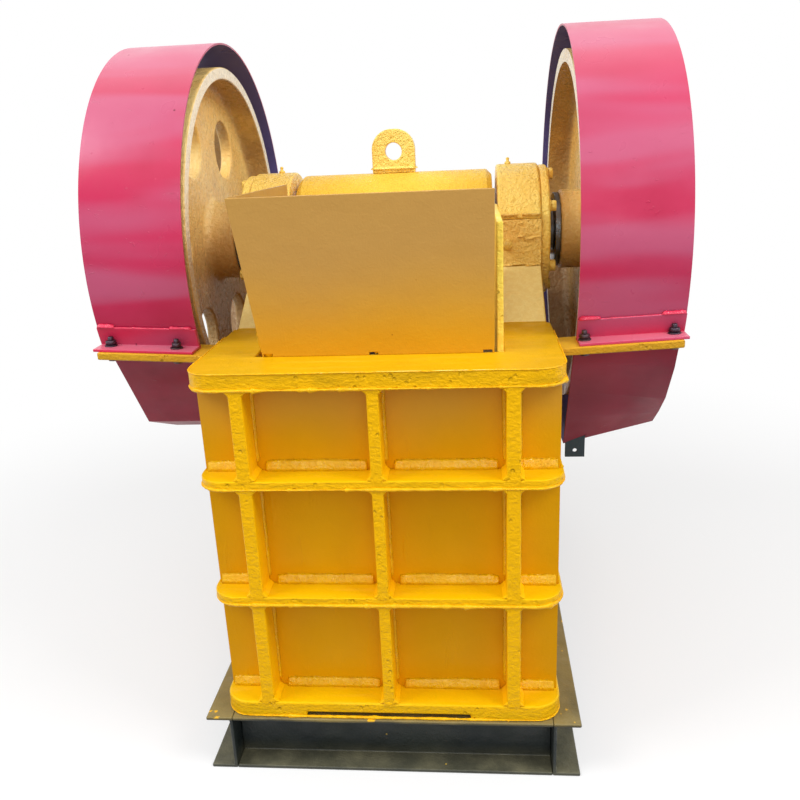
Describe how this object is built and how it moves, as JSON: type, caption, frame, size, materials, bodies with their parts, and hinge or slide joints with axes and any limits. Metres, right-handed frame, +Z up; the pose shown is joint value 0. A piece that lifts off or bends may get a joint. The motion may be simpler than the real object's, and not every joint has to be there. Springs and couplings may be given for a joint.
{
  "type": "jaw crusher",
  "caption": "Single-toggle jaw crusher with ribbed welded frame, feed hopper, swing jaw with lifting lug, flywheel and belt sheave under half guards, on a channel base.",
  "frame": {"origin": "floor level below the middle of the overall box", "axes": "+Z up, +X along the shaft towards the belt sheave, -Y towards the fixed jaw wall that faces the viewer"},
  "size_m": [1.24, 1.38, 1.5429],
  "materials": {
    "yellow_paint": "glossy thick paint",
    "housing_paint": "glossy paint over rough cast surface",
    "wheel_paint": "satin paint over cast surface",
    "red_paint": "semi-gloss paint",
    "base_paint": "satin paint",
    "bare_steel": "machined",
    "jaw_steel": "cast"
  },
  "bodies": {
    "frame": {"base_side_channels": "base_paint", "base_cross_channels": "base_paint", "foot_flange": "yellow_paint", "lower_rib_ring": "yellow_paint", "upper_rib_ring": "yellow_paint", "top_flange": "yellow_paint", "side_walls": "yellow_paint", "front_wall": "yellow_paint", "front_uprights": "yellow_paint", "rear_wall": "yellow_paint", "seat_posts": "yellow_paint", "bearing_blocks": "housing_paint", "bearing_caps": "housing_paint", "bearing_covers": "housing_paint", "fixed_jaw_plate": "jaw_steel", "cheek_plates": "jaw_steel", "hopper_front_plate": "yellow_paint", "hopper_side_sheet": "yellow_paint", "mouth_side_plate": "yellow_paint", "left_upper_guard": "red_paint", "right_upper_guard": "red_paint", "left_lower_guard": "red_paint", "right_lower_guard": "red_paint", "guard_angles": "red_paint", "guard_supports": "yellow_paint", "guard_bracket": "bare_steel", "toggle_block": "yellow_paint", "toggle_plate": "jaw_steel", "spring_plate": "yellow_paint", "tension_rod": "bare_steel", "tension_spring": "bare_steel"},
    "shaft": {"eccentric_shaft": "bare_steel", "spacer_rings": "bare_steel", "flywheel_rim": "wheel_paint", "flywheel_disc": "wheel_paint", "sheave_rim": "wheel_paint", "sheave_disc": "wheel_paint"},
    "swing_jaw": {"pitman": "yellow_paint", "lifting_lug": "yellow_paint", "moving_jaw_plate": "jaw_steel"}
  },
  "joints": [
    {"name": "shaft_spin", "type": "hinge", "parent": "frame", "child": "shaft", "pos_m": [0, 0.009, 1.07], "axis": [1, 0, 0], "continuous": true},
    {"name": "jaw_on_eccentric", "type": "hinge", "parent": "shaft", "child": "swing_jaw", "pos_m": [0, 0.009, 1.06], "axis": [1, 0, 0], "continuous": true}
  ],
  "couplings": [
    {"joint": "jaw_on_eccentric", "follows": "shaft_spin", "ratio": -1}
  ]
}
